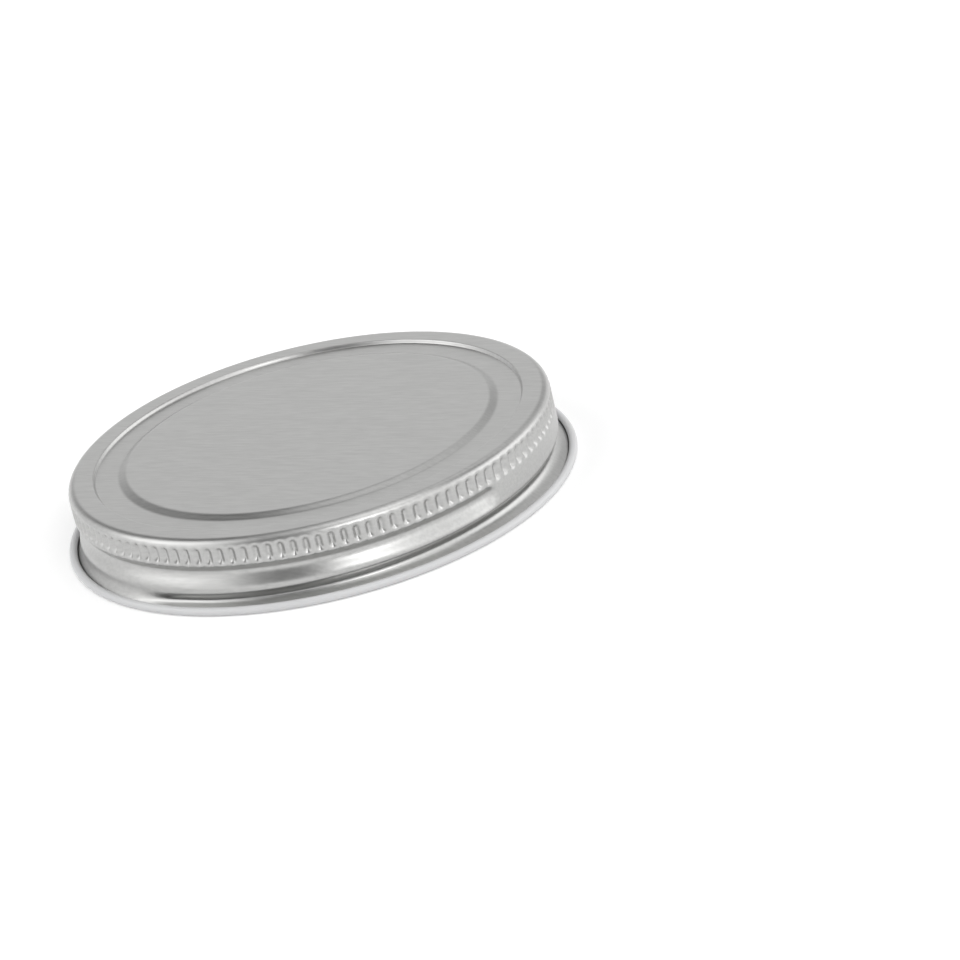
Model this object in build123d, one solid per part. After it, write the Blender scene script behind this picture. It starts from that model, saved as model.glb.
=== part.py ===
from build123d import *
from math import cos, hypot, pi, radians, sin, tan
import os

# A screw-on jar lid pressed from one disc of tinplate, with a sealing ring cast in its corner.
# Lengths are millimetres and angles are degrees. Z is the lid's axis and points out of the panel.
# The lid stands mouth down, and Z zero is the lowest circle of the rolled curl.

# Sheet and overall form
sheet = 0.22
overall_height = 10.6
skirt_radius = 35.3
shoulder_radius = 1.3

# Stiffening steps pressed in the panel
panel_radius = 26.85
land_inner_radius = 31.75
channel_depth = 0.5
step_angle = 30.0

# Knurled band at the top of the skirt
knurl_count = 124
knurl_depth = 0.26
flute_share = 1.1
knurl_low = 6.05
knurl_high = 9.1
knurl_runout = 0.35

# Right-handed thread, rolled inwards
thread_pitch = 4.23
thread_turns = 1.27
thread_top = 6.15
thread_start_angle = 315.0
thread_depth = 0.95
thread_nose = 0.6
thread_reach_up = 1.05
thread_reach_down = 2.1
thread_clearance = 0.5
thread_floor = 1.15

# Flared hem and its rolled curl
flare_radius = 2.63
flare_angle = 60.0
curl_diameter = 1.2
curl_sweep = 240.0

# Sealing ring
seal_overlap = 0.4
seal_thickness = 0.5
seal_edge_run = 0.35

# Flats that a round bend is drawn with
shoulder_flats = 3
flare_flats = 2
curl_flats = 8
curl_inside_flats = 4

# Lengths that follow from the sizes above
step_run = channel_depth / tan(radians(step_angle))
flute_width = flute_share * 2 * pi * skirt_radius / knurl_count
channel_height = overall_height - channel_depth
channel_underside = channel_height - sheet
shoulder_centre = (skirt_radius - shoulder_radius, overall_height - shoulder_radius)
curl_line_radius = (curl_diameter - sheet) / 2
flare_to_curl = flare_radius - curl_line_radius
flare_centre = (
    skirt_radius - sheet / 2 + flare_radius,
    curl_diameter / 2 + flare_to_curl * sin(radians(flare_angle)),
)
curl_centre = (flare_centre[0] - flare_to_curl * cos(radians(flare_angle)), curl_diameter / 2)


def on_circle(centre, radius, angle):
    """Point of a section's circle, with the angle measured from outwards to up."""
    return (centre[0] + radius * cos(radians(angle)), centre[1] + radius * sin(radians(angle)))


def bend(centre, radius, start, sweep, flats):
    """Corners of a round bend that is drawn as equal flats."""
    return [on_circle(centre, radius, start + sweep * i / flats) for i in range(flats + 1)]


def turned(corners):
    """Solid of revolution about the lid's axis, from the corners of its half section."""
    return revolve(make_face(Plane.XZ * Polyline(*corners, close=True)), Axis.Z)


def panel_line(depth):
    """Corners of the panel's surface at this depth in the sheet, from the axis to the shoulder."""
    top = overall_height - depth
    low = channel_height - depth
    nudge = depth * tan(radians(step_angle) / 2)
    return [
        (0, top),
        (panel_radius - nudge, top),
        (panel_radius + step_run - nudge, low),
        (land_inner_radius - step_run + nudge, low),
        (land_inner_radius + nudge, top),
    ]


def shoulder_line(depth):
    """Corners of the rounded shoulder at this depth, from the panel to the skirt."""
    return bend(shoulder_centre, shoulder_radius - depth, 90, -90, shoulder_flats)


def turned_body(depth):
    """Solid under the sheet's surface at this depth, from the panel to the hem of the flare."""
    flare_end = 180 + flare_angle
    flare = bend(flare_centre, flare_radius - sheet / 2 + depth, 180, flare_angle, flare_flats)
    hem = on_circle(flare_centre, flare_radius + sheet / 2, flare_end)
    closing = [hem, (0, hem[1])] if depth == 0 else [(hem[0], -overall_height), (0, -overall_height)]
    return turned(panel_line(depth) + shoulder_line(depth) + flare + closing)


def flutes(depth):
    """Knurl flutes for the surface at this depth, each a hipped wedge that points at the axis."""
    wedge = Wedge(
        flute_width * 2,
        knurl_depth * 2,
        knurl_high - knurl_low + 2 * knurl_runout,
        flute_width,
        knurl_runout * 2,
        flute_width,
        knurl_high - knurl_low,
        align=(Align.CENTER, Align.MIN, Align.CENTER),
    )
    wedge = Pos(0, -(skirt_radius - depth + knurl_depth), (knurl_high + knurl_low) / 2) * wedge
    return [Rot(0, 0, 360 * i / knurl_count) * wedge for i in range(knurl_count)]


def thread_section(depth):
    """Corners of the thread's section at this depth: a blunt nose, sloping flanks and an open mouth."""
    corners = []
    for side, reach in ((-1, thread_reach_up), (1, thread_reach_down)):
        slope = (reach - thread_nose / 2) / thread_depth
        nose = (-thread_depth - depth, side * (thread_nose / 2 + depth * (hypot(1, slope) - slope)))
        brim = (-depth * (hypot(1, slope) - 1) / slope, side * (reach + depth))
        mouth = (thread_clearance, side * (reach + depth))
        corners += [nose, brim, mouth][::side]
    return corners


def thread_bar(depth):
    """Helical bar that presses the thread into the surface at this depth, longer by it at both ends."""
    end_turns = depth / (2 * pi * skirt_radius)
    low_turns = thread_turns + end_turns
    rise = thread_pitch * (low_turns + end_turns)
    low_end = Rot(0, 0, thread_start_angle - 360 * low_turns) * Pos(0, 0, thread_top - thread_pitch * low_turns)
    path = low_end * Helix(thread_pitch, rise, skirt_radius)
    outwards = Vector((path @ 0).X, (path @ 0).Y, 0)
    end = Plane(path @ 0, x_dir=outwards, z_dir=path % 0)
    section = make_face(end * Polyline(*thread_section(depth), close=True))
    bar = sweep(section, path, is_frenet=True)
    span = overall_height - thread_floor + depth
    room = Cylinder(2 * skirt_radius, span, align=(Align.CENTER, Align.CENTER, Align.MIN))
    return bar & Pos(0, 0, thread_floor - depth) * room


def pressed_body(depth):
    """Turned body with the knurl and the thread pressed into its side."""
    return turned_body(depth) - thread_bar(depth) - flutes(depth)


def rolled_curl():
    """Tube of sheet rolled outwards from the hem, with its raw edge turned in beside the flare."""
    start = 180 + flare_angle
    outside = bend(curl_centre, curl_diameter / 2, start, curl_sweep, curl_flats)
    inside = bend(curl_centre, curl_diameter / 2 - sheet, start, curl_sweep, curl_inside_flats)
    return turned(outside + inside[::-1])


def lid_shell():
    """Panel, knurled and threaded skirt, flare and curl, all one pressed sheet."""
    return pressed_body(0) - pressed_body(sheet) + rolled_curl()


def sealing_ring():
    """Sealing compound cast in the groove under the land and lapped over its step, clear of the knurl."""
    face_height = channel_underside - seal_thickness
    seat = panel_line(sheet)[3:] + shoulder_line(sheet)[:-1]
    inner_radius = seat[0][0] - seal_overlap
    free = [
        (shoulder_centre[0], face_height),
        (inner_radius + seal_edge_run, face_height),
        (inner_radius, channel_underside),
    ]
    return turned(seat + free)


os.makedirs("parts", exist_ok=True)
export_step(lid_shell(), "parts/lid_shell.step")
export_step(sealing_ring(), "parts/sealing_ring.step")
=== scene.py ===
"""Screw-on tinplate lid with a knurled skirt, a rolled thread, a curled hem and a sealing ring.

Lengths are metres and the frame is the lid's own: Z is its axis, and it stands mouth down on
Z zero.
"""

import logging
import math
from dataclasses import dataclass, field
from enum import Enum
from typing import Callable, Optional, Sequence, Union

import bpy
from mathutils import Matrix, Vector

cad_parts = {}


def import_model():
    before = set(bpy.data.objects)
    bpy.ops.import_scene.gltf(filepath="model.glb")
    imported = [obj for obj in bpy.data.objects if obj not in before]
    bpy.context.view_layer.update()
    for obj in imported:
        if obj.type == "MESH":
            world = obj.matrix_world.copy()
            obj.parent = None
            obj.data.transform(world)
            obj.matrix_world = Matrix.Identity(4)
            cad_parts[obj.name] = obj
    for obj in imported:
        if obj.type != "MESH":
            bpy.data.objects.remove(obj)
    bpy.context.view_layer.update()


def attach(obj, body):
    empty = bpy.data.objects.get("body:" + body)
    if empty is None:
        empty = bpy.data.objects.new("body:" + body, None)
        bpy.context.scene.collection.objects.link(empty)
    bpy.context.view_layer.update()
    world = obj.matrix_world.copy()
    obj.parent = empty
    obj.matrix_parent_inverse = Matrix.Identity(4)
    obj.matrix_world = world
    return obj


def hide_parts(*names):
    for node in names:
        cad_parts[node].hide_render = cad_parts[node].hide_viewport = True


LOG = logging.getLogger("lid")
MM = 0.001
TURN = 2 * math.pi
Colour = tuple[float, float, float, float]
Point = tuple[float, float]
Line = list[tuple[Point, int, float]]
Ripple = Callable[[float], Point]
Socket = bpy.types.NodeSocket
Value = Union[Socket, float]


class Side(Enum):
    """Which side of the sheet a station lies on."""

    OUTSIDE = 0
    INSIDE = 1


@dataclass(frozen=True)
class LidSizes:
    """Driving sizes of the lid, in metres and degrees."""

    sheet: float = 0.22 * MM
    height: float = 10.6 * MM
    skirt_radius: float = 35.3 * MM
    shoulder_radius: float = 1.3 * MM
    panel_radius: float = 26.85 * MM
    land_inner_radius: float = 31.75 * MM
    channel_depth: float = 0.5 * MM
    step_run: float = 0.866 * MM
    rise_run: float = 0.42 * MM
    knurl_count: float = 124.0
    knurl_depth: float = 0.55 * MM
    knurl_low: float = 7.25 * MM
    knurl_high: float = 9.3 * MM
    knurl_runout: float = 0.5 * MM
    thread_pitch: float = 4.71 * MM
    thread_turns: float = 1.26
    thread_lead: float = 0.25
    thread_lead_bend: float = 0.05
    thread_top: float = 5.5 * MM
    thread_start: float = 311.0
    thread_depth: float = 0.95 * MM
    thread_reach_up: float = 1.65 * MM
    thread_reach_down: float = 2.3 * MM
    thread_runout: float = 2.2 * MM
    thread_fade: float = 0.05
    flare_radius: float = 2.63 * MM
    flare_angle: float = 60.0
    curl_diameter: float = 1.2 * MM
    curl_sweep: float = 290.0
    seal_inner_radius: float = 30.54 * MM
    seal_thickness: float = 0.5 * MM
    waviness: float = 0.02 * MM

    @property
    def curl_middle(self) -> float:
        """Radius of the curl's circle along the middle of its sheet."""
        return (self.curl_diameter - self.sheet) / 2

    @property
    def flare_to_curl(self) -> float:
        """Distance from the flare's centre to the curl's centre."""
        return self.flare_radius - self.curl_middle

    @property
    def flare_centre(self) -> Point:
        """Centre of the flare's bend in the half section."""
        return (
            self.skirt_radius - self.sheet / 2 + self.flare_radius,
            self.curl_diameter / 2 + self.flare_to_curl * math.sin(math.radians(self.flare_angle)),
        )

    @property
    def curl_centre(self) -> Point:
        """Centre of the curl in the half section."""
        x = self.flare_centre[0] - self.flare_to_curl * math.cos(math.radians(self.flare_angle))
        return (x, self.curl_diameter / 2)

    @property
    def shoulder_centre(self) -> Point:
        """Centre of the shoulder's bend in the half section."""
        return (self.skirt_radius - self.shoulder_radius, self.height - self.shoulder_radius)


@dataclass(frozen=True)
class Station:
    """One circle of the turned section.

    Attributes:
        radius: Distance from the axis.
        height: Height above the floor.
        segments: Number of points round the circle.
        side: Side of the sheet that the face after this circle belongs to.
        press: Share of the knurl and the thread that this circle takes.
    """

    radius: float
    height: float
    segments: int
    side: Side
    press: float


class Graph:
    """A node tree with short calls that add nodes and link them."""

    def __init__(self, tree: bpy.types.NodeTree) -> None:
        """Keeps the tree that the calls add to."""
        self.tree = tree

    def node(self, kind: str, **settings: object) -> bpy.types.Node:
        """Adds one node.

        Args:
            kind: Blender's name of the node type.
            **settings: Attributes set on the node.

        Returns:
            The new node.
        """
        made = self.tree.nodes.new(kind)
        for name, value in settings.items():
            setattr(made, name, value)
        return made

    def feed(self, socket: Socket, value: Union[Value, Sequence[float]]) -> None:
        """Links a socket to an input, or sets the input to a plain value.

        Args:
            socket: The input.
            value: An output socket, a number or a row of numbers.
        """
        if isinstance(value, bpy.types.NodeSocket):
            self.tree.links.new(value, socket)
        else:
            socket.default_value = value

    def maths(self, operation: str, *values: Value, clamp: bool = False) -> Socket:
        """Adds a maths node.

        Args:
            operation: Name of the operation.
            *values: Its inputs, sockets or numbers.
            clamp: Whether the result stays between 0 and 1.

        Returns:
            The node's output.
        """
        made = self.node("ShaderNodeMath", operation=operation, use_clamp=clamp)
        for socket, value in zip(made.inputs, values):
            self.feed(socket, value)
        return made.outputs[0]

    def ramp(self, value: Value, low: Value, high: Value) -> Socket:
        """Smooth step of a value.

        Args:
            value: The number or socket that is stepped.
            low: Where the step starts, at 0.
            high: Where the step ends, at 1.

        Returns:
            A number from 0 to 1.
        """
        made = self.node("ShaderNodeMapRange", interpolation_type="SMOOTHSTEP")
        self.feed(made.inputs["Value"], value)
        self.feed(made.inputs["From Min"], low)
        self.feed(made.inputs["From Max"], high)
        return made.outputs["Result"]


class FinishGraph(Graph):
    """Node tree of one finish, with its shader and its place on the piece."""

    def __init__(self, name: str) -> None:
        """Makes the material of this name."""
        self.made = bpy.data.materials.new(name)
        self.made.use_nodes = True
        super().__init__(self.made.node_tree)
        self.shader = self.tree.nodes["Principled BSDF"]
        self.place = self.node("ShaderNodeTexCoord").outputs["Object"]

    def noise(self, vector: Socket, scale: float, detail: float) -> Socket:
        """Adds a noise.

        Args:
            vector: Place that it is read at.
            scale: Cells per metre.
            detail: Number of finer layers.

        Returns:
            A number from 0 to 1.
        """
        made = self.node("ShaderNodeTexNoise")
        made.inputs["Scale"].default_value = scale
        made.inputs["Detail"].default_value = detail
        self.feed(made.inputs["Vector"], vector)
        return made.outputs["Fac"]

    def tone(self, share: Socket, dark: Colour, light: Colour, reach: Point = (0.0, 1.0)) -> None:
        """Colours the shader between two tones.

        Args:
            share: Number that the tone follows.
            dark: Tone at the low end.
            light: Tone at the high end.
            reach: Low and high end of the share.
        """
        made = self.node("ShaderNodeValToRGB")
        for element, colour, position in zip(made.color_ramp.elements, (dark, light), reach):
            element.color = colour
            element.position = position
        self.feed(made.inputs["Fac"], share)
        self.feed(self.shader.inputs["Base Color"], made.outputs["Color"])

    def rough(self, share: Socket, gain: float, base: Value) -> None:
        """Makes the shader's roughness follow a share.

        Args:
            share: Number that the roughness follows.
            gain: Change of the roughness over it.
            base: Roughness at 0.
        """
        level = self.maths("MULTIPLY_ADD", share, gain, base)
        self.feed(self.shader.inputs["Roughness"], level)

    def bump(self, height: Socket, strength: float, distance: float) -> None:
        """Gives the shader a fine relief.

        Args:
            height: Number that the relief follows.
            strength: Share of the relief that shows.
            distance: Height of the relief.
        """
        made = self.node("ShaderNodeBump")
        made.inputs["Strength"].default_value = strength
        made.inputs["Distance"].default_value = distance
        self.feed(made.inputs["Height"], height)
        self.feed(self.shader.inputs["Normal"], made.outputs["Normal"])


def shade(colour: Colour, factor: float) -> Colour:
    """A colour made darker or lighter by a factor."""
    return (factor * colour[0], factor * colour[1], factor * colour[2], colour[3])


@dataclass(frozen=True)
class Tinplate:
    """Bare tinplate with a fine rolled grain.

    Attributes:
        colour: Mean tone.
        dark: Factor of the grain's darker lines.
        light: Factor of its lighter lines.
        tone_reach: Part of the grain's noise over which the tone changes.
        roughness: Mean roughness.
        cloud_gain: Change of the roughness from place to place.
        grain_gain: Change of the roughness from line to line.
        grain_turn: Direction of the grain, in degrees.
        grain_across: Lines per metre across the grain.
        grain_along: Cells per metre along it.
        cloud_scale: Cells per metre of the slow change.
        relief: Height of the grain.
        relief_share: Strength of its relief.
    """

    colour: Colour = (0.475, 0.475, 0.468, 1.0)
    dark: float = 0.93
    light: float = 1.07
    tone_reach: Point = (0.3, 0.7)
    roughness: float = 0.3
    cloud_gain: float = 0.04
    grain_gain: float = 0.05
    grain_turn: float = -31.0
    grain_across: float = 2600.0
    grain_along: float = 320.0
    cloud_scale: float = 130.0
    relief: float = 0.02 * MM
    relief_share: float = 0.1

    def material(self) -> bpy.types.Material:
        """Builds the finish.

        Returns:
            A metal whose tone, roughness and bump follow stretched noise.
        """
        graph = FinishGraph("tinplate")
        graph.shader.inputs["Metallic"].default_value = 1.0
        turn = graph.node("ShaderNodeMapping")
        turn.inputs["Rotation"].default_value = (0.0, 0.0, math.radians(-self.grain_turn))
        graph.feed(turn.inputs["Vector"], graph.place)
        stretch = graph.node("ShaderNodeMapping")
        scale = (self.grain_along, self.grain_across, self.grain_across)
        stretch.inputs["Scale"].default_value = scale
        graph.feed(stretch.inputs["Vector"], turn.outputs["Vector"])
        grain = graph.noise(stretch.outputs["Vector"], 1.0, 4.0)
        cloud = graph.noise(graph.place, self.cloud_scale, 3.0)
        dark, light = shade(self.colour, self.dark), shade(self.colour, self.light)
        graph.tone(grain, dark, light, self.tone_reach)
        base = self.roughness - self.cloud_gain / 2
        spread = graph.maths("MULTIPLY_ADD", cloud, self.cloud_gain, base)
        graph.rough(grain, self.grain_gain, spread)
        graph.bump(grain, self.relief_share, self.relief)
        return graph.made


@dataclass(frozen=True)
class Lacquer:
    """White stoved lacquer on the inside of the sheet, which the curl turns to the outside.

    Attributes:
        colour: Mean tone.
        dark: Factor of the darker places.
        light: Factor of the lighter places.
        roughness: Mean roughness.
        cloud_gain: Change of the roughness from place to place.
        cloud_scale: Cells per metre of the slow change.
        peel_scale: Cells per metre of the orange peel.
        relief: Height of the orange peel.
        relief_share: Strength of its relief.
    """

    colour: Colour = (0.6, 0.602, 0.608, 1.0)
    dark: float = 0.95
    light: float = 1.04
    roughness: float = 0.3
    cloud_gain: float = 0.12
    cloud_scale: float = 90.0
    peel_scale: float = 2600.0
    relief: float = 0.02 * MM
    relief_share: float = 0.15

    def material(self) -> bpy.types.Material:
        """Builds the finish.

        Returns:
            A satin enamel with a soft orange peel and slightly uneven tone.
        """
        graph = FinishGraph("white_lacquer")
        peel = graph.noise(graph.place, self.peel_scale, 2.0)
        cloud = graph.noise(graph.place, self.cloud_scale, 3.0)
        graph.tone(cloud, shade(self.colour, self.dark), shade(self.colour, self.light))
        graph.rough(cloud, self.cloud_gain, self.roughness - self.cloud_gain / 2)
        graph.bump(peel, self.relief_share, self.relief)
        return graph.made


@dataclass(frozen=True)
class SealCompound:
    """Cream sealing compound, cast in place and cured.

    Attributes:
        colour: Lighter tone.
        dark_colour: Darker tone.
        tone_reach: Part of the slow noise over which the tone changes.
        roughness: Mean roughness.
        cloud_gain: Change of the roughness from place to place.
        cloud_scale: Cells per metre of the slow change.
        pore_scale: Pores per metre.
        pore_reach: Distances from a pore's middle where its rim starts and ends, in cells.
        relief: Depth of the pores.
        relief_share: Strength of their relief.
        scatter_share: Share of the light that goes in.
        scatter_depth: How deep it goes.
    """

    colour: Colour = (0.71, 0.695, 0.645, 1.0)
    dark_colour: Colour = (0.64, 0.615, 0.55, 1.0)
    tone_reach: Point = (0.25, 0.6)
    roughness: float = 0.5
    cloud_gain: float = 0.2
    cloud_scale: float = 160.0
    pore_scale: float = 1700.0
    pore_reach: Point = (0.02, 0.25)
    relief: float = 0.04 * MM
    relief_share: float = 0.25
    scatter_share: float = 0.08
    scatter_depth: float = 0.5 * MM

    def material(self) -> bpy.types.Material:
        """Builds the finish.

        Returns:
            A soft satin compound with slow tone changes and fine pores.
        """
        graph = FinishGraph("cream_compound")
        graph.shader.inputs["Subsurface Weight"].default_value = self.scatter_share
        graph.shader.inputs["Subsurface Scale"].default_value = self.scatter_depth
        cloud = graph.noise(graph.place, self.cloud_scale, 4.0)
        pores = graph.node("ShaderNodeTexVoronoi")
        pores.inputs["Scale"].default_value = self.pore_scale
        graph.feed(pores.inputs["Vector"], graph.place)
        graph.tone(cloud, self.dark_colour, self.colour, self.tone_reach)
        graph.rough(cloud, self.cloud_gain, self.roughness - self.cloud_gain / 2)
        pit = graph.ramp(pores.outputs["Distance"], *self.pore_reach)
        graph.bump(pit, self.relief_share, self.relief)
        return graph.made


def arc(centre: Point, radius: float, start: float, sweep: float, steps: int) -> list[Point]:
    """Points of a round bend.

    Args:
        centre: Centre of the bend in the half section.
        radius: Radius of the bend.
        start: First angle in degrees, from outwards to up.
        sweep: Angle covered, in degrees.
        steps: Number of equal steps.

    Returns:
        The points, both ends included.
    """
    angles = [math.radians(start + sweep * i / steps) for i in range(steps + 1)]
    return [(centre[0] + radius * math.cos(a), centre[1] + radius * math.sin(a)) for a in angles]


def pressed_step(start: Point, end: Point, steps: int) -> list[Point]:
    """Points of a softly pressed step between two levels.

    Args:
        start: Point where the upper or lower level ends.
        end: Point where the other level begins.
        steps: Number of equal steps.

    Returns:
        The points, both ends included.
    """
    shares = [i / steps for i in range(steps + 1)]
    rise = end[1] - start[1]
    return [
        (start[0] + (end[0] - start[0]) * t, start[1] + rise * (0.5 - 0.5 * math.cos(math.pi * t)))
        for t in shares
    ]


def straight(start: Point, end: Point, steps: int) -> list[Point]:
    """Points of a straight run, both ends included."""
    return [
        (start[0] + (end[0] - start[0]) * i / steps, start[1] + (end[1] - start[1]) * i / steps)
        for i in range(steps + 1)
    ]


class TurnedMesh:
    """Closed mesh made of circles about the lid's axis."""

    def __init__(self, name: str) -> None:
        """Starts an empty mesh of this name."""
        self.name = name
        self.places: list[tuple[float, float, float]] = []
        self.faces: list[tuple[int, ...]] = []
        self.inside: list[bool] = []
        self.press: list[float] = []

    def circle(self, station: Station, ripple: Optional[Ripple] = None) -> list[int]:
        """Adds the points of one circle.

        Args:
            station: The circle.
            ripple: Shift of radius and height at an angle in radians, or nothing.

        Returns:
            The indices of its points, or of one point on the axis.
        """
        count = station.segments if station.radius > 0 else 1
        first = len(self.places)
        for i in range(count):
            angle = TURN * i / count
            shift = ripple(angle) if ripple else (0.0, 0.0)
            radius, height = station.radius + shift[0], station.height + shift[1]
            self.places.append((radius * math.cos(angle), radius * math.sin(angle), height))
            self.press.append(station.press)
        return list(range(first, first + count))

    def band(self, above: list[int], below: list[int], side: Side) -> None:
        """Joins two circles, where one may have a multiple of the other's points.

        Args:
            above: Points of the first circle of the section.
            below: Points of the second circle.
            side: Side of the sheet that the band belongs to.
        """
        many, few = max(len(above), len(below)), min(len(above), len(below))
        assert many % few == 0
        if few == 1:
            ring, tip = (above, below[0]) if len(below) == 1 else (below, above[0])
            for i in range(many):
                pair = (ring[i], ring[(i + 1) % many])
                self.face((tip, *pair) if ring is below else (tip, *pair[::-1]), side)
            return
        for j in range(few):
            top, low = self.stretch(above, j, few), self.stretch(below, j, few)
            self.face(tuple(top[::-1] + low), side)

    @staticmethod
    def stretch(ring: list[int], index: int, parts: int) -> list[int]:
        """Points of one of the equal parts of a circle, both ends included."""
        length = len(ring) // parts
        return [ring[(index * length + k) % len(ring)] for k in range(length + 1)]

    def face(self, corners: tuple[int, ...], side: Side) -> None:
        """Adds one face."""
        self.faces.append(corners)
        self.inside.append(side is Side.INSIDE)

    def build(self) -> bpy.types.Object:
        """Makes the object.

        Returns:
            A smooth mesh object at the origin, with the attributes press and inside.
        """
        mesh = bpy.data.meshes.new(self.name)
        mesh.from_pydata(self.places, [], self.faces)
        mesh.attributes.new("press", "FLOAT", "POINT").data.foreach_set("value", self.press)
        mesh.attributes.new("inside", "BOOLEAN", "FACE").data.foreach_set("value", self.inside)
        mesh.shade_smooth()
        made = bpy.data.objects.new(self.name, mesh)
        bpy.context.scene.collection.objects.link(made)
        return made


class PressingTree:
    """Geometry Nodes tree that presses the knurl and the thread into a turned sheet.

    Attributes:
        RIB_POWER: Power on the wave round the knurl, above 1 for flutes narrower than ribs.
        RIB_CLEARANCE: Share of the thread's depth from which no rib is left.
        CELL_SCALE: Cells per metre of the sheet's unevenness.
        UNEVEN_LEAST: Least share of the knurl's depth.
        UNEVEN_GAIN: Change of that share from place to place.
    """

    RIB_POWER = 1.3
    RIB_CLEARANCE = 0.35
    CELL_SCALE = 140.0
    UNEVEN_LEAST = 0.75
    UNEVEN_GAIN = 0.5

    def __init__(self, sizes: LidSizes) -> None:
        """Keeps the sizes and builds the tree."""
        self.sizes = sizes
        self.tree = bpy.data.node_groups.new("knurl_and_thread", "GeometryNodeTree")
        self.graph = Graph(self.tree)
        self.settings: dict[str, float] = {
            "Knurl Count": sizes.knurl_count,
            "Knurl Depth": sizes.knurl_depth,
            "Knurl Low": sizes.knurl_low,
            "Knurl High": sizes.knurl_high,
            "Knurl Run-out": sizes.knurl_runout,
            "Thread Pitch": sizes.thread_pitch,
            "Thread Turns": sizes.thread_turns,
            "Thread Lead": sizes.thread_lead,
            "Thread Lead Bend": sizes.thread_lead_bend,
            "Thread Top": sizes.thread_top,
            "Thread Start": math.radians(sizes.thread_start),
            "Thread Depth": sizes.thread_depth,
            "Thread Reach Up": sizes.thread_reach_up,
            "Thread Reach Down": sizes.thread_reach_down,
            "Thread Run-out": sizes.thread_runout,
            "Thread Fade": sizes.thread_fade,
            "Skirt Radius": sizes.skirt_radius,
            "Waviness": sizes.waviness,
        }
        face = self.tree.interface
        face.new_socket("Geometry", in_out="INPUT", socket_type="NodeSocketGeometry")
        for name in self.settings:
            face.new_socket(name, in_out="INPUT", socket_type="NodeSocketFloat")
        face.new_socket("Outside Finish", in_out="INPUT", socket_type="NodeSocketMaterial")
        face.new_socket("Inside Finish", in_out="INPUT", socket_type="NodeSocketMaterial")
        face.new_socket("Geometry", in_out="OUTPUT", socket_type="NodeSocketGeometry")
        self.build()

    def thread(self, source: bpy.types.Node, angle: Socket, height: Socket) -> Socket:
        """Share of the thread's depth at a point.

        Args:
            source: Group input.
            angle: Angle about the axis, in radians.
            height: Height above the floor.

        Returns:
            A number from 0 to 1.
        """
        g, given = self.graph, source.outputs
        lag = g.maths("SUBTRACT", given["Thread Start"], angle)
        share = g.maths("FRACT", g.maths("DIVIDE", lag, TURN))
        deepest: Value = 0.0
        girth = g.maths("MULTIPLY", given["Skirt Radius"], TURN)
        for turn in (-1.0, 0.0, 1.0):
            run = g.maths("ADD", share, turn)
            late = g.maths("SUBTRACT", run, given["Thread Lead"])
            bend = g.maths("MULTIPLY", given["Thread Lead Bend"], given["Thread Lead Bend"])
            bent = g.maths("SQRT", g.maths("MULTIPLY_ADD", late, late, bend))
            fallen = g.maths("MULTIPLY", g.maths("ADD", late, bent), 0.5)
            drop = g.maths("MULTIPLY", fallen, given["Thread Pitch"])
            line = g.maths("SUBTRACT", given["Thread Top"], drop)
            across = g.maths("SUBTRACT", height, line)
            before = g.maths("MAXIMUM", g.maths("MULTIPLY", run, -1.0), 0.0)
            after = g.maths("MAXIMUM", g.maths("SUBTRACT", run, given["Thread Turns"]), 0.0)
            along = g.maths("MULTIPLY", g.maths("ADD", before, after), girth)
            above = g.maths("DIVIDE", g.maths("MAXIMUM", across, 0.0), given["Thread Reach Up"])
            below = g.maths("DIVIDE", g.maths("MINIMUM", across, 0.0), given["Thread Reach Down"])
            beyond = g.maths("DIVIDE", along, given["Thread Run-out"])
            squares = g.maths("POWER", g.maths("SUBTRACT", above, below), 2.0)
            reach = g.maths("SQRT", g.maths("MULTIPLY_ADD", beyond, beyond, squares))
            phase = g.maths("MULTIPLY", g.maths("MINIMUM", reach, 1.0), math.pi)
            wave = g.maths("COSINE", phase)
            round_form = g.maths("MULTIPLY_ADD", wave, 0.5, 0.5)
            fade_start = g.maths("SUBTRACT", given["Thread Turns"], given["Thread Fade"])
            fade = g.maths("SUBTRACT", 1.0, g.ramp(run, fade_start, given["Thread Turns"]))
            depth = g.maths("MULTIPLY", round_form, fade)
            deepest = g.maths("MAXIMUM", deepest, depth)
        return deepest

    def ribs(self, source: bpy.types.Node, angle: Socket, height: Socket, thread: Socket) -> Socket:
        """Share of the knurl's depth at a point.

        Args:
            source: Group input.
            angle: Angle about the axis, in radians.
            height: Height above the floor.
            thread: Share of the thread's depth there.

        Returns:
            A number from 0 to 1.
        """
        g, given = self.graph, source.outputs
        wave = g.maths("COSINE", g.maths("MULTIPLY", angle, given["Knurl Count"]))
        valley = g.maths("POWER", g.maths("MULTIPLY_ADD", wave, -0.5, 0.5), self.RIB_POWER)
        low = g.maths("SUBTRACT", given["Knurl Low"], given["Knurl Run-out"])
        low_end = g.maths("ADD", given["Knurl Low"], given["Knurl Run-out"])
        high = g.maths("SUBTRACT", given["Knurl High"], given["Knurl Run-out"])
        high_end = g.maths("ADD", given["Knurl High"], given["Knurl Run-out"])
        closed = g.maths("SUBTRACT", 1.0, g.ramp(height, high, high_end))
        window = g.maths("MULTIPLY", g.ramp(height, low, low_end), closed)
        clear = g.maths("SUBTRACT", 1.0, g.ramp(thread, 0.0, self.RIB_CLEARANCE))
        return g.maths("MULTIPLY", g.maths("MULTIPLY", valley, window), clear)

    def build(self) -> None:
        """Builds the nodes, from the group input to Set Material."""
        g = self.graph
        source = g.node("NodeGroupInput")
        given = source.outputs
        place = g.node("ShaderNodeSeparateXYZ")
        position = g.node("GeometryNodeInputPosition")
        g.feed(place.inputs[0], position.outputs[0])
        x, y, height = place.outputs
        angle = g.maths("ARCTAN2", y, x)
        thread = self.thread(source, angle, height)
        rib = self.ribs(source, angle, height, thread)

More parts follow.
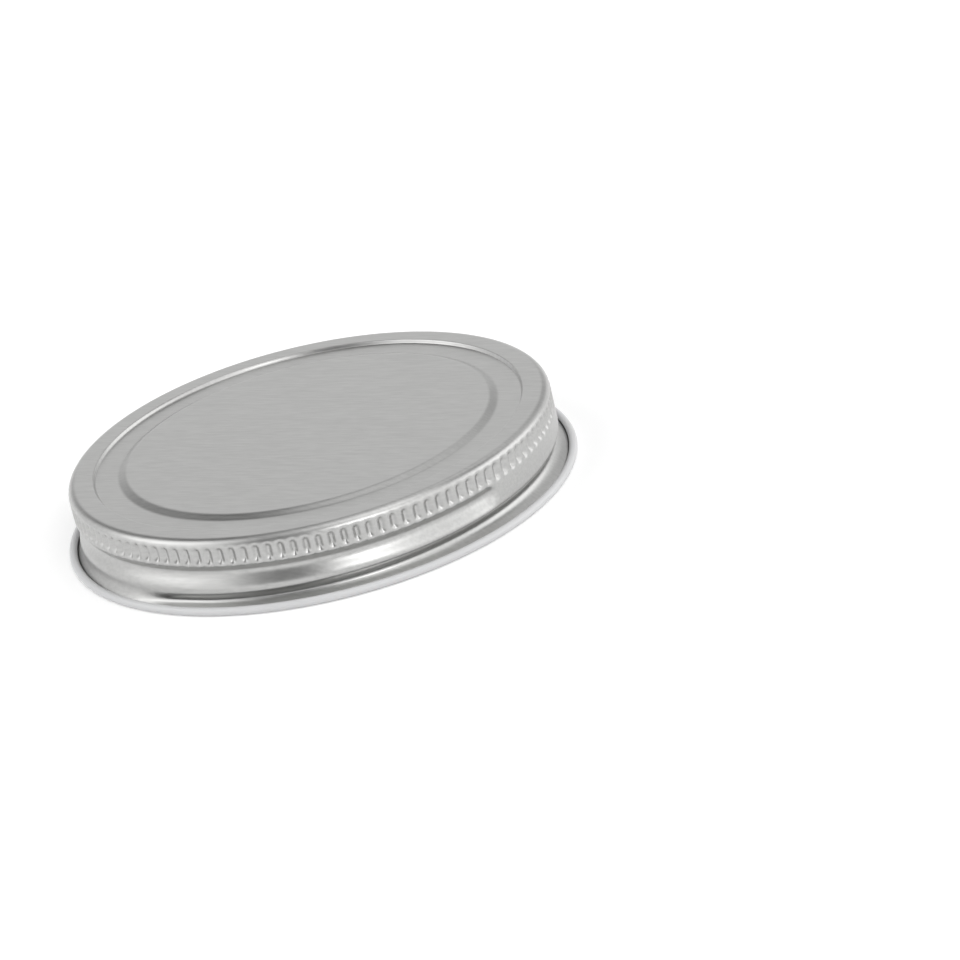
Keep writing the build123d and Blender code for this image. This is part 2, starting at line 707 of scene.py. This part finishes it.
        noise = g.node("ShaderNodeTexNoise", noise_dimensions="3D")
        noise.inputs["Scale"].default_value = self.CELL_SCALE
        noise.inputs["Detail"].default_value = 1.0
        g.feed(noise.inputs["Vector"], position.outputs[0])
        cell = noise.outputs["Fac"]
        uneven = g.maths("MULTIPLY_ADD", cell, self.UNEVEN_GAIN, self.UNEVEN_LEAST)
        ripple = g.maths("MULTIPLY", g.maths("SUBTRACT", cell, 0.5), given["Waviness"])

        pressed = g.maths("MULTIPLY", thread, given["Thread Depth"])
        ribbed = g.maths("MULTIPLY", g.maths("MULTIPLY", rib, given["Knurl Depth"]), uneven)
        shift = g.maths("ADD", g.maths("ADD", pressed, ribbed), g.maths("ABSOLUTE", ripple))
        share = g.node("GeometryNodeInputNamedAttribute", data_type="FLOAT")
        share.inputs["Name"].default_value = "press"
        taken = g.maths("MULTIPLY", shift, share.outputs["Attribute"])
        amount = g.maths("MULTIPLY", taken, -1.0)
        outwards = g.node("ShaderNodeCombineXYZ")
        g.feed(outwards.inputs[0], g.maths("COSINE", angle))
        g.feed(outwards.inputs[1], g.maths("SINE", angle))
        offset = g.node("ShaderNodeVectorMath", operation="SCALE")
        g.feed(offset.inputs[0], outwards.outputs[0])
        g.feed(offset.inputs["Scale"], amount)
        move = g.node("GeometryNodeSetPosition")
        g.feed(move.inputs["Geometry"], given["Geometry"])
        g.feed(move.inputs["Offset"], offset.outputs[0])

        real = g.node("GeometryNodeRealizeInstances")
        g.feed(real.inputs[0], move.outputs[0])
        outer = g.node("GeometryNodeSetMaterial")
        g.feed(outer.inputs["Geometry"], real.outputs[0])
        g.feed(outer.inputs["Material"], given["Outside Finish"])
        side = g.node("GeometryNodeInputNamedAttribute", data_type="BOOLEAN")
        side.inputs["Name"].default_value = "inside"
        inner = g.node("GeometryNodeSetMaterial")
        g.feed(inner.inputs["Geometry"], outer.outputs[0])
        g.feed(inner.inputs["Selection"], side.outputs["Attribute"])
        g.feed(inner.inputs["Material"], given["Inside Finish"])
        sink = g.node("NodeGroupOutput")
        g.feed(sink.inputs[0], inner.outputs[0])

    def press(
        self, blank: bpy.types.Object, outside: bpy.types.Material, inside: bpy.types.Material
    ) -> None:
        """Runs the tree on a turned sheet and keeps the result as its plain mesh.

        Args:
            blank: The turned sheet.
            outside: Finish of the outside.
            inside: Finish of the inside.
        """
        modifier = blank.modifiers.new("pressing", "NODES")
        modifier.node_group = self.tree
        finishes = {"Outside Finish": outside, "Inside Finish": inside}
        values: dict[str, object] = {**self.settings, **finishes}
        for item in self.tree.interface.items_tree:
            if item.in_out == "INPUT" and item.name in values:
                modifier[item.identifier] = values[item.name]
        graph = bpy.context.evaluated_depsgraph_get()
        pressed = bpy.data.meshes.new_from_object(blank.evaluated_get(graph))
        blank.modifiers.remove(modifier)
        turned = blank.data
        blank.data = pressed
        bpy.data.meshes.remove(turned)
        pressed.name = blank.name


@dataclass
class LidShell:
    """Panel, knurled and threaded skirt, flare and curl, all one pressed sheet.

    Attributes:
        sizes: Driving sizes.
        outside: Finish of the outside.
        inside: Finish of the inside.
        plain_segments: Points round a circle that has no pattern.
        wall_segments: Points round a circle of the threaded wall.
        knurl_segments: Points round a circle of the knurl.
        guard: Distance of the circle that keeps a flat surface flat up to its bend.
        step_inner: How far the panel's step starts inside its radius.
        step_outer: How far it ends outside that radius.
        step_points: Steps across a pressed step.
        shoulder_points: Steps round the shoulder.
        shoulder_plain: Circles of the shoulder that have no pattern.
        shoulder_still: Circles of the shoulder that take no pressing.
        outer_points: Steps down the knurl, the wall and the flare, outside.
        inner_points: The same steps, inside.
        curl_points: Steps round the curl, in its hollow and round its outside.
        press_low: Height below which the flare takes no pressing.
        press_high: Height above which it takes all of it.
    """

    sizes: LidSizes
    outside: Tinplate = field(default_factory=Tinplate)
    inside: Lacquer = field(default_factory=Lacquer)
    plain_segments: int = 248
    wall_segments: int = 496
    knurl_segments: int = 1488
    guard: float = 0.12 * MM
    step_inner: float = 0.45 * MM
    step_outer: float = 1.15 * MM
    step_points: int = 7
    shoulder_points: int = 10
    shoulder_plain: int = 5
    shoulder_still: int = 4
    outer_points: tuple[int, int, int] = (14, 20, 10)
    inner_points: tuple[int, int, int] = (8, 12, 6)
    curl_points: tuple[int, int] = (12, 20)
    press_low: float = 0.5 * MM
    press_high: float = 1.3 * MM

    def panel(self, depth: float) -> Line:
        """Panel of one side of the sheet, from the axis outwards.

        Args:
            depth: Depth of the side in the sheet.

        Returns:
            Points with their number of segments and their share of the pressing.
        """
        s = self.sizes
        top, low = s.height - depth, s.height - s.channel_depth - depth
        step_in, step_out = s.panel_radius - self.step_inner, s.panel_radius + self.step_outer
        rise_out = s.land_inner_radius - (s.step_run - s.rise_run) / 2
        rise_in = rise_out - s.rise_run
        line = [(0.0, top), (s.panel_radius * 0.5, top), (step_in - self.guard, top)]
        line += pressed_step((step_in, top), (step_out, low), self.step_points)
        line += [(step_out + self.guard, low), (rise_in - self.guard, low)]
        line += pressed_step((rise_in, low), (rise_out, top), self.step_points)
        line += [(rise_out + self.guard, top), (s.shoulder_centre[0] - self.guard, top)]
        return [(point, self.plain_segments, 0.0) for point in line]

    def shoulder(self, depth: float) -> Line:
        """Rounded shoulder of one side of the sheet, from the land to the skirt.

        Args:
            depth: Depth of the side in the sheet.

        Returns:
            Its line, as for the panel.
        """
        s = self.sizes
        points = arc(s.shoulder_centre, s.shoulder_radius - depth, 90, -90, self.shoulder_points)
        line = []
        for i, point in enumerate(points):
            count = self.plain_segments if i < self.shoulder_plain else self.knurl_segments
            line.append((point, count, 0.0 if i < self.shoulder_still else 1.0))
        return line

    def wall(self, depth: float, knurl_steps: int, plain_steps: int) -> Line:
        """Skirt of one side of the sheet, from the shoulder to the flare.

        Args:
            depth: Depth of the side in the sheet.
            knurl_steps: Steps down the knurl.
            plain_steps: Steps from there to the flare.

        Returns:
            Its line, as for the panel.
        """
        s = self.sizes
        radius = s.skirt_radius - depth
        knurl_end = s.knurl_low - 2 * s.knurl_runout
        knurl = straight((radius, s.shoulder_centre[1]), (radius, knurl_end), knurl_steps)[1:]
        plain = straight((radius, knurl_end), (radius, s.flare_centre[1]), plain_steps)[1:]
        line = [(point, self.knurl_segments, 1.0) for point in knurl]
        return line + [(point, self.wall_segments, 1.0) for point in plain]

    def flare(self, depth: float, steps: int) -> Line:
        """Flare of one side of the sheet, from the skirt to the curl.

        Args:
            depth: Depth of the side in the sheet.
            steps: Steps round the flare.

        Returns:
            Its line, as for the panel.
        """
        s = self.sizes
        radius = s.flare_radius - s.sheet / 2 + depth
        line = []
        for point in arc(s.flare_centre, radius, 180, s.flare_angle, steps)[1:]:
            share = (point[1] - self.press_low) / (self.press_high - self.press_low)
            share = min(max(share, 0.0), 1.0)
            line.append((point, self.wall_segments, share * share * (3 - 2 * share)))
        return line

    def face(self, depth: float, points: tuple[int, int, int]) -> Line:
        """One side of the sheet, from the axis to the curl.

        Args:
            depth: Depth of the side in the sheet.
            points: Steps down the knurl, the wall and the flare.

        Returns:
            Its line, as for the panel.
        """
        knurl_steps, plain_steps, flare_steps = points
        wall = self.wall(depth, knurl_steps, plain_steps)
        return self.panel(depth) + self.shoulder(depth) + wall + self.flare(depth, flare_steps)

    def stations(self) -> list[Station]:
        """The whole closed section, from the axis over the outside, round the curl and back inside.

        Returns:
            The circles in order.
        """
        s = self.sizes
        start = 180 + s.flare_angle
        hollow_steps, outer_steps = self.curl_points
        hollow_radius = s.curl_diameter / 2 - s.sheet
        hollow = arc(s.curl_centre, hollow_radius, start, s.curl_sweep, hollow_steps)[1:]
        rolled = arc(s.curl_centre, s.curl_diameter / 2, start, s.curl_sweep, outer_steps)[:0:-1]
        out = self.face(0.0, self.outer_points)
        out += [(point, self.plain_segments, 0.0) for point in hollow]
        back = [(point, self.plain_segments, 0.0) for point in rolled]
        back += self.face(s.sheet, self.inner_points)[::-1]
        sides = ((out, Side.OUTSIDE), (back, Side.INSIDE))
        return [
            Station(*point, count, side, press)
            for line, side in sides
            for point, count, press in line
        ]

    def build(self) -> bpy.types.Object:
        """Builds and dresses the shell.

        Returns:
            The finished piece.
        """
        turned = TurnedMesh("pressed_lid_shell")
        line = self.stations()
        rings = [turned.circle(station) for station in line]
        for station, ring, following in zip(line, rings, rings[1:]):
            turned.band(ring, following, station.side)
        shell = turned.build()
        PressingTree(self.sizes).press(shell, self.outside.material(), self.inside.material())
        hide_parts("lid_shell")
        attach(shell, "root")
        return shell


@dataclass
class SealingRing:
    """Sealing compound cast in the corner under the channel and the land.

    Attributes:
        sizes: Driving sizes.
        finish: Finish of the compound.
        segments: Points round each circle.
        bite: How far the compound sits in the sheet it is cast on.
        edge_start: How far the seat's first circle lies outside the inner edge.
        seat_sweep: Angle of the shoulder that the compound covers, in degrees.
        lip_run: How far the lip lies inside the covered shoulder's end.
        lip_drop: How far it lies below that end.
        creep_run: How far the compound has crept outwards between two ribs.
        creep_drop: How far it has crept down there.
        corner_round: Radius of the bend from the lip to the free face.
        corner_gap: How far that bend's middle lies inside the shoulder's.
        edge_round: Radius of the inner edge.
        face_wave: Height of the free face's waves.
        edge_wave: Depth of the inner edge's waves.
    """

    sizes: LidSizes
    finish: SealCompound = field(default_factory=SealCompound)
    segments: int = 992
    bite: float = 0.03 * MM
    edge_start: float = 0.1 * MM
    seat_sweep: float = 66.0
    lip_run: float = 0.02 * MM
    lip_drop: float = 0.3 * MM
    creep_run: float = 0.05 * MM
    creep_drop: float = 0.28 * MM
    corner_round: float = 0.8 * MM
    corner_gap: float = 0.1 * MM
    edge_round: float = 0.4 * MM
    face_wave: float = 0.03 * MM
    edge_wave: float = 0.06 * MM

    def lip_ripple(self, angle: float) -> Point:
        """Shift of the lip, where the compound has crept between the ribs of the knurl."""
        ribs = 0.5 + 0.5 * math.cos(self.sizes.knurl_count * angle)
        slow = 0.6 + 0.25 * math.sin(5 * angle + 0.6) + 0.15 * math.sin(13 * angle + 2.1)
        return (self.creep_run * ribs * slow, -self.creep_drop * ribs * slow)

    def face_ripple(self, angle: float) -> Point:
        """Slow unevenness of the free face."""
        return (0.0, self.face_wave * math.sin(7 * angle + 0.4) * math.sin(3 * angle + 1.3))

    def edge_ripple(self, angle: float) -> Point:
        """Slow unevenness of the inner edge."""
        return (self.edge_wave * math.sin(9 * angle + 1.1) * math.sin(4 * angle), 0.0)

    def section(self) -> list[tuple[Point, Optional[Ripple]]]:
        """Closed section of the ring, over the seat and back along the free face.

        Returns:
            Points with the ripple of their circle, or nothing.
        """
        s = self.sizes
        seat = s.height - s.channel_depth - s.sheet
        face = seat - s.seal_thickness
        radius = s.shoulder_radius - s.sheet + self.bite
        top = s.height - s.sheet + self.bite
        step_start = (s.land_inner_radius - s.step_run, seat + self.bite)
        held = [(s.seal_inner_radius + self.edge_start, seat + self.bite)]
        held += pressed_step(step_start, (s.land_inner_radius, top), 5)
        held += arc(s.shoulder_centre, radius, 90, -self.seat_sweep, 6)
        lip = (held[-1][0] - self.lip_run, held[-1][1] - self.lip_drop)
        corner = (s.shoulder_centre[0] - self.corner_gap, face + self.corner_round)
        free = arc(corner, self.corner_round, -25, -65, 5)
        edge_middle = s.seal_inner_radius + self.edge_round
        free += straight(free[-1], (edge_middle, face), 4)[1:]
        edge = arc((edge_middle, face + self.edge_round), self.edge_round, -90, -90, 5)[1:]
        line: list[tuple[Point, Optional[Ripple]]] = [(point, None) for point in held]
        line += [(lip, self.lip_ripple)]
        line += [(point, self.face_ripple) for point in free]
        return line + [(point, self.edge_ripple) for point in edge]

    def build(self) -> bpy.types.Object:
        """Builds and dresses the ring.

        Returns:
            The finished piece.
        """
        turned = TurnedMesh("cast_sealing_ring")
        rings = [
            turned.circle(Station(*point, self.segments, Side.INSIDE, 0.0), ripple)
            for point, ripple in self.section()
        ]
        for ring, following in zip(rings, rings[1:] + rings[:1]):
            turned.band(ring, following, Side.INSIDE)
        ring_piece = turned.build()
        ring_piece.data.materials.append(self.finish.material())
        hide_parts("sealing_ring")
        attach(ring_piece, "root")
        return ring_piece


@dataclass
class Studio:
    """Plain pale floor, soft light and the camera.

    Attributes:
        elevation: Camera's height over the lid, in degrees.
        roll: Lean of the lid's axis in the picture, in degrees.
        centre: Middle of the lid's foot in the camera's frame: right, down and away.
        seen_height: Height above the foot that the middle was read at.
        lens: Focal length in millimetres.
        film_width: Width of the film in millimetres.
        clip: Nearest and farthest distance seen.
        floor_size: Side of the floor.
        floor_tone: Tone of the floor's paint.
        floor_glow: Light added to the floor where it is seen or mirrored, for a white background.
        horizon_level: Brightness round the lid, where 1 is white.
        zenith_level: Brightness straight above it.
        sky_reach: Rise of the direction over which one turns into the other.
        panels: Soft panels, each with azimuth, elevation, reach and added brightness.
        panel_core: Share of a panel's reach that has its full brightness.
        key_spot: Place of the lamp across the floor.
        key_height: Its height above the floor.
        key_width: Side of the square lamp.
        key_level: Brightness of its face, where 1 is white.
    """

    elevation: float = 22.6
    roll: float = -13.3
    centre: tuple[float, float, float] = (-22.45 * MM, 2.5 * MM, 718.0 * MM)
    seen_height: float = 0.06 * MM
    lens: float = 187.5
    film_width: float = 36.0
    clip: Point = (0.01, 20.0)
    floor_size: float = 4.0
    floor_tone: float = 0.82
    floor_glow: float = 0.26
    horizon_level: float = 1.19
    zenith_level: float = 0.5
    sky_reach: Point = (0.45, 0.95)
    panels: tuple[tuple[float, float, float, float], ...] = (
        (174.0, 46.0, 26.0, 1.3),
        (194.0, 26.0, 40.0, 0.6),
        (320.0, 74.0, 24.0, 1.3),
        (315.0, 35.0, 46.0, 0.6),
        (10.0, 8.0, 34.0, 1.2),
        (52.0, 68.0, 28.0, 0.6),
        (14.0, 57.0, 20.0, -0.6),
        (243.0, 32.0, 25.0, -0.95),
        (122.0, 48.0, 25.0, -0.5),
        (117.0, 22.0, 16.0, -0.5),
        (67.0, 22.0, 16.0, -0.5),
    )
    panel_core: float = 0.55
    key_spot: Point = (0.244, -0.91)
    key_height: float = 0.6
    key_width: float = 0.42
    key_level: float = 2.6

    @staticmethod
    def seen(graph: Graph) -> Socket:
        """Number that is 1 for camera, glossy and transmission rays, and 0 for other light."""
        path = graph.node("ShaderNodeLightPath").outputs
        mirrored = graph.maths("ADD", path["Is Glossy Ray"], path["Is Transmission Ray"])
        return graph.maths("ADD", path["Is Camera Ray"], mirrored, clamp=True)

    def camera(self) -> None:
        """Places the scene's camera at the photograph's viewing angle."""
        turn, tip = math.radians(self.roll), math.radians(self.elevation)
        s, c = math.sin(turn), math.cos(turn)
        axis = Vector((s * math.cos(tip), -c * math.cos(tip), -math.sin(tip)))
        right = Vector((c, s, 0.0))
        away = axis.cross(right)
        rows = Matrix((right, away, axis))
        middle = Vector(self.centre) - axis * self.seen_height
        spot = -(rows @ middle)
        data = bpy.data.cameras.new("camera")
        data.lens = self.lens
        data.sensor_width = self.film_width
        data.clip_start, data.clip_end = self.clip
        made = bpy.data.objects.new("camera", data)
        facing = rows @ Matrix(((1, 0, 0), (0, -1, 0), (0, 0, -1)))
        made.matrix_world = Matrix.Translation(spot) @ facing.to_4x4()
        bpy.context.scene.collection.objects.link(made)
        bpy.context.scene.camera = made

    def floor(self) -> None:
        """Lays a white floor that keeps the lid's soft shadow."""
        half = self.floor_size / 2
        corners = [(-half, -half, 0), (half, -half, 0), (half, half, 0), (-half, half, 0)]
        mesh = bpy.data.meshes.new("floor")
        mesh.from_pydata(corners, [], [(0, 1, 2, 3)])
        made = bpy.data.objects.new("floor", mesh)
        bpy.context.scene.collection.objects.link(made)
        paint = bpy.data.materials.new("white_floor")
        paint.use_nodes = True
        graph = Graph(paint.node_tree)
        paint.node_tree.nodes.clear()
        matt = graph.node("ShaderNodeBsdfDiffuse")
        matt.inputs["Color"].default_value = (self.floor_tone,) * 3 + (1.0,)
        glow = graph.node("ShaderNodeEmission")
        strength = graph.maths("MULTIPLY", self.seen(graph), self.floor_glow)
        graph.feed(glow.inputs["Strength"], strength)
        both = graph.node("ShaderNodeAddShader")
        graph.feed(both.inputs[0], matt.outputs[0])
        graph.feed(both.inputs[1], glow.outputs[0])
        sink = graph.node("ShaderNodeOutputMaterial")
        graph.feed(sink.inputs["Surface"], both.outputs[0])
        mesh.materials.append(paint)

    def world(self) -> None:
        """Surrounds the lid with a white horizon, a greyer sky and the panels."""
        world = bpy.data.worlds.new("studio")
        bpy.context.scene.world = world
        world.use_nodes = True
        graph = Graph(world.node_tree)
        world.node_tree.nodes.clear()
        place = graph.node("ShaderNodeTexCoord")
        parts = graph.node("ShaderNodeSeparateXYZ")
        graph.feed(parts.inputs[0], place.outputs["Generated"])
        fall = graph.ramp(parts.outputs["Z"], *self.sky_reach)
        change = self.zenith_level - self.horizon_level
        level: Value = graph.maths("MULTIPLY_ADD", fall, change, self.horizon_level)
        for azimuth, height, reach, gain in self.panels:
            turn, tip = math.radians(azimuth), math.radians(height)
            flat = math.cos(tip)
            facing = (math.cos(turn) * flat, math.sin(turn) * flat, math.sin(tip))
            near = graph.node("ShaderNodeVectorMath", operation="DOT_PRODUCT")
            graph.feed(near.inputs[0], place.outputs["Generated"])
            graph.feed(near.inputs[1], facing)
            edge = math.cos(math.radians(reach))
            full = math.cos(math.radians(reach * self.panel_core))
            lobe = graph.ramp(near.outputs["Value"], edge, full)
            level = graph.maths("MULTIPLY_ADD", lobe, gain, level)
        path = graph.node("ShaderNodeLightPath")
        backdrop = graph.node("ShaderNodeMix", data_type="FLOAT")
        graph.feed(backdrop.inputs[0], path.outputs["Is Camera Ray"])
        graph.feed(backdrop.inputs[2], level)
        graph.feed(backdrop.inputs[3], 1.0)
        sky = graph.node("ShaderNodeBackground")
        graph.feed(sky.inputs["Strength"], backdrop.outputs[0])
        sink = graph.node("ShaderNodeOutputWorld")
        graph.feed(sink.inputs["Surface"], sky.outputs[0])

    def key_softbox(self) -> None:
        """Hangs the soft lamp that faces the lid."""
        data = bpy.data.lights.new("key_softbox", "AREA")
        data.size = self.key_width
        data.energy = self.key_level * math.pi * self.key_width * self.key_width
        made = bpy.data.objects.new("key_softbox", data)
        made.location = (*self.key_spot, self.key_height)
        made.rotation_euler = (-made.location).to_track_quat("-Z", "Y").to_euler()
        bpy.context.scene.collection.objects.link(made)

    def build(self) -> None:
        """Builds the floor, the surroundings, the lamp and the camera."""
        bpy.context.scene.view_settings.view_transform = "Standard"
        self.floor()
        self.world()
        self.key_softbox()
        self.camera()


def triangles(piece: bpy.types.Object) -> int:
    """Number of triangles of a piece."""
    return sum(len(polygon.vertices) - 2 for polygon in piece.data.polygons)


def main() -> None:
    """Builds the lid and the studio in order and reports each piece."""
    logging.basicConfig(level=logging.INFO, format="%(name)s: %(message)s")
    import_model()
    sizes = LidSizes()
    for builder in (LidShell(sizes), SealingRing(sizes)):
        piece = builder.build()
        LOG.info("%s: %d triangles", piece.name, triangles(piece))
    Studio().build()
    LOG.info("studio built")
    bpy.context.view_layer.update()


if __name__ == "__main__":
    main()
